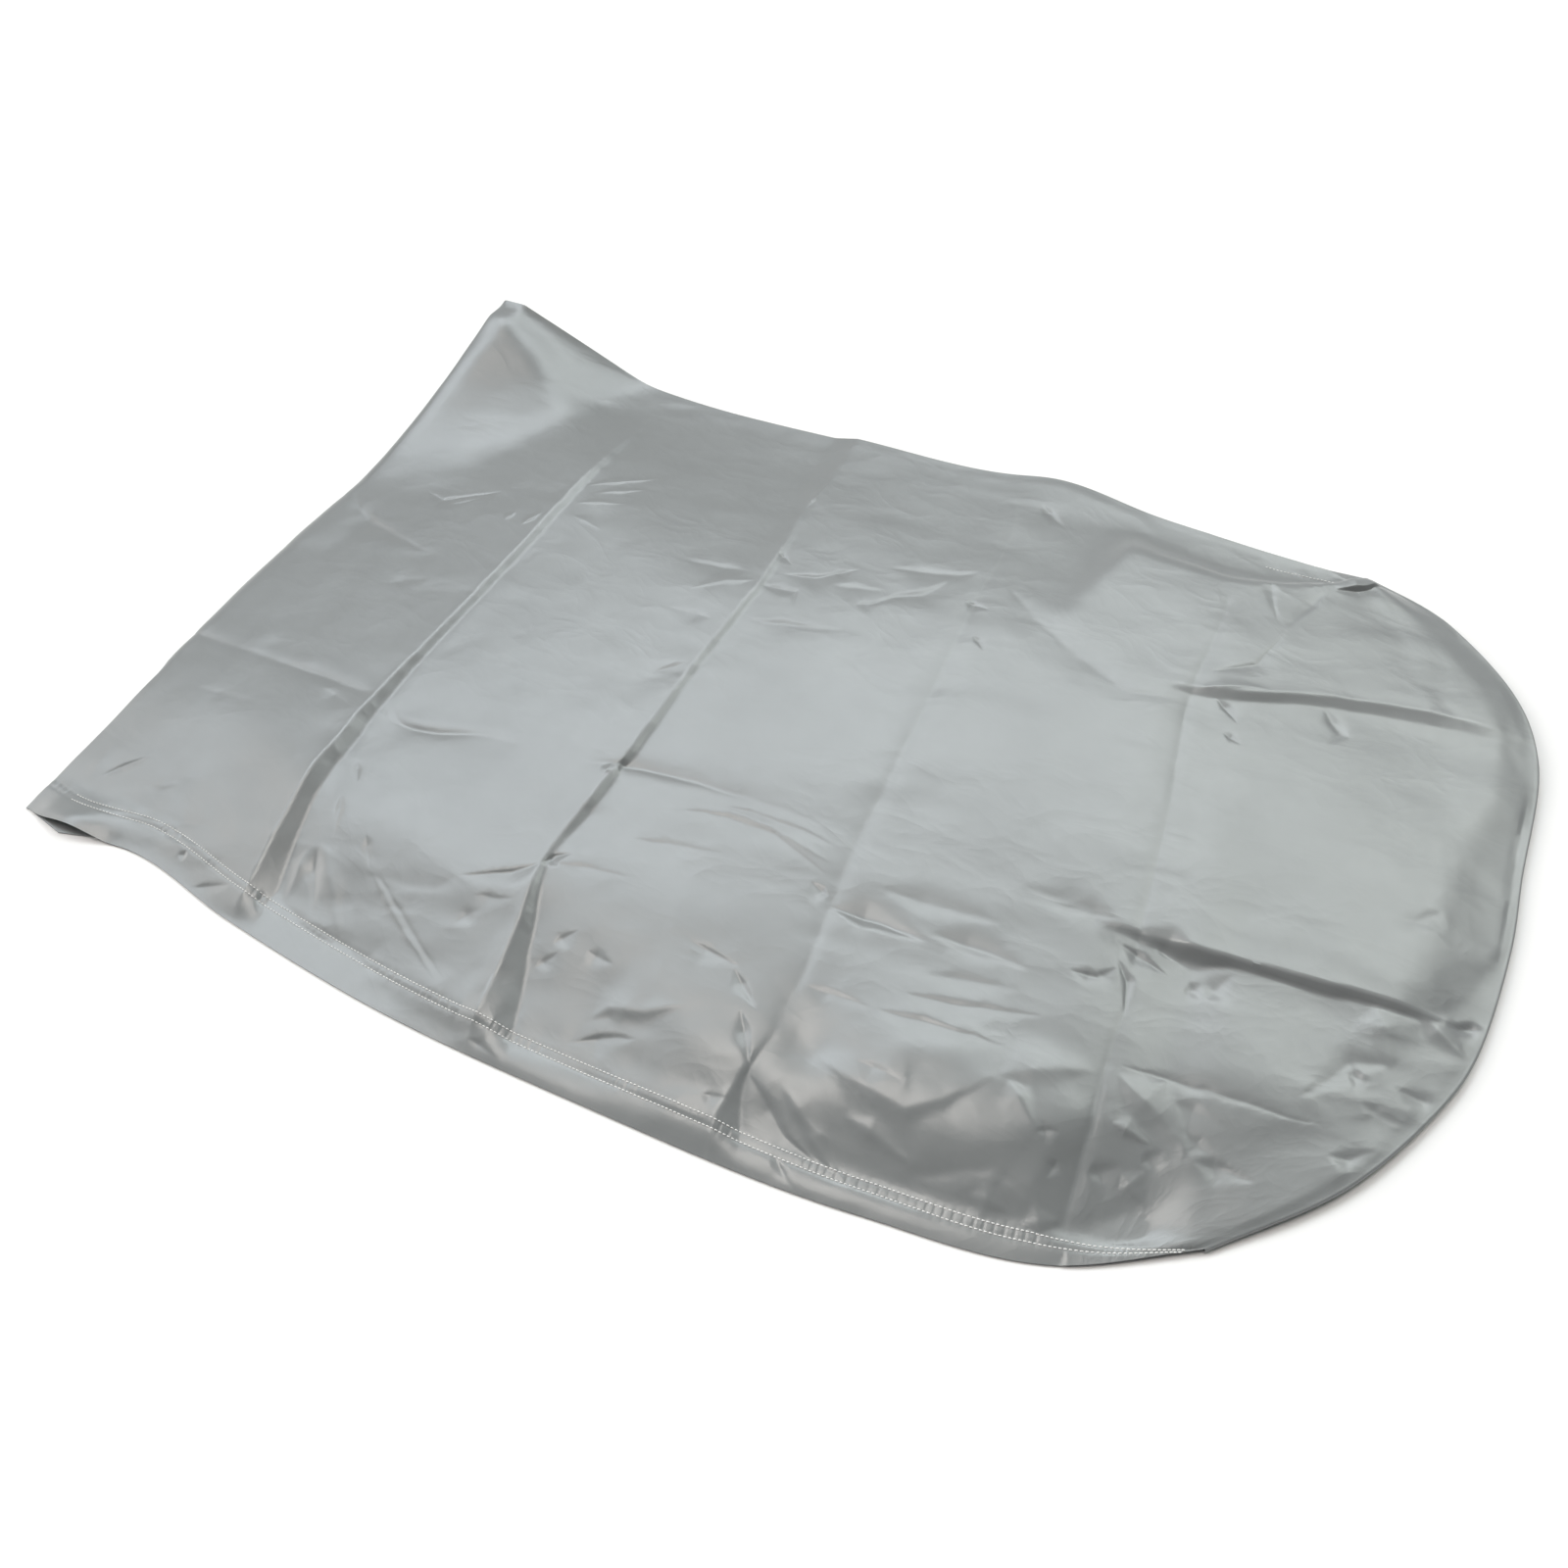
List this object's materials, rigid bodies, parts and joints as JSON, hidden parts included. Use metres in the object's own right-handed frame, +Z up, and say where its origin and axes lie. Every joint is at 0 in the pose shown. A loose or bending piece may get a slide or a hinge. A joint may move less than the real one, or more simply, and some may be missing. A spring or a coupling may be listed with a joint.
{
  "type": "kayak cover",
  "caption": "Silver-grey coated polyester kayak cover, doubled over and laid flat, with a rounded bow end rolled under, a stitched hem, packing creases and a curled corner.",
  "frame": {"origin": "middle of the laid-out cover's box, on the surface that it lies on", "axes": "+X from the fold to the rounded bow end, +Y from the near hem to the far hem, +Z up"},
  "size_m": [1.7161, 1.2373, 0.1027],
  "materials": {
    "coated_polyester": "silver-grey coated taffeta, satin"
  },
  "bodies": {
    "root": {"cover_cloth": "coated_polyester"}
  },
  "joints": []
}
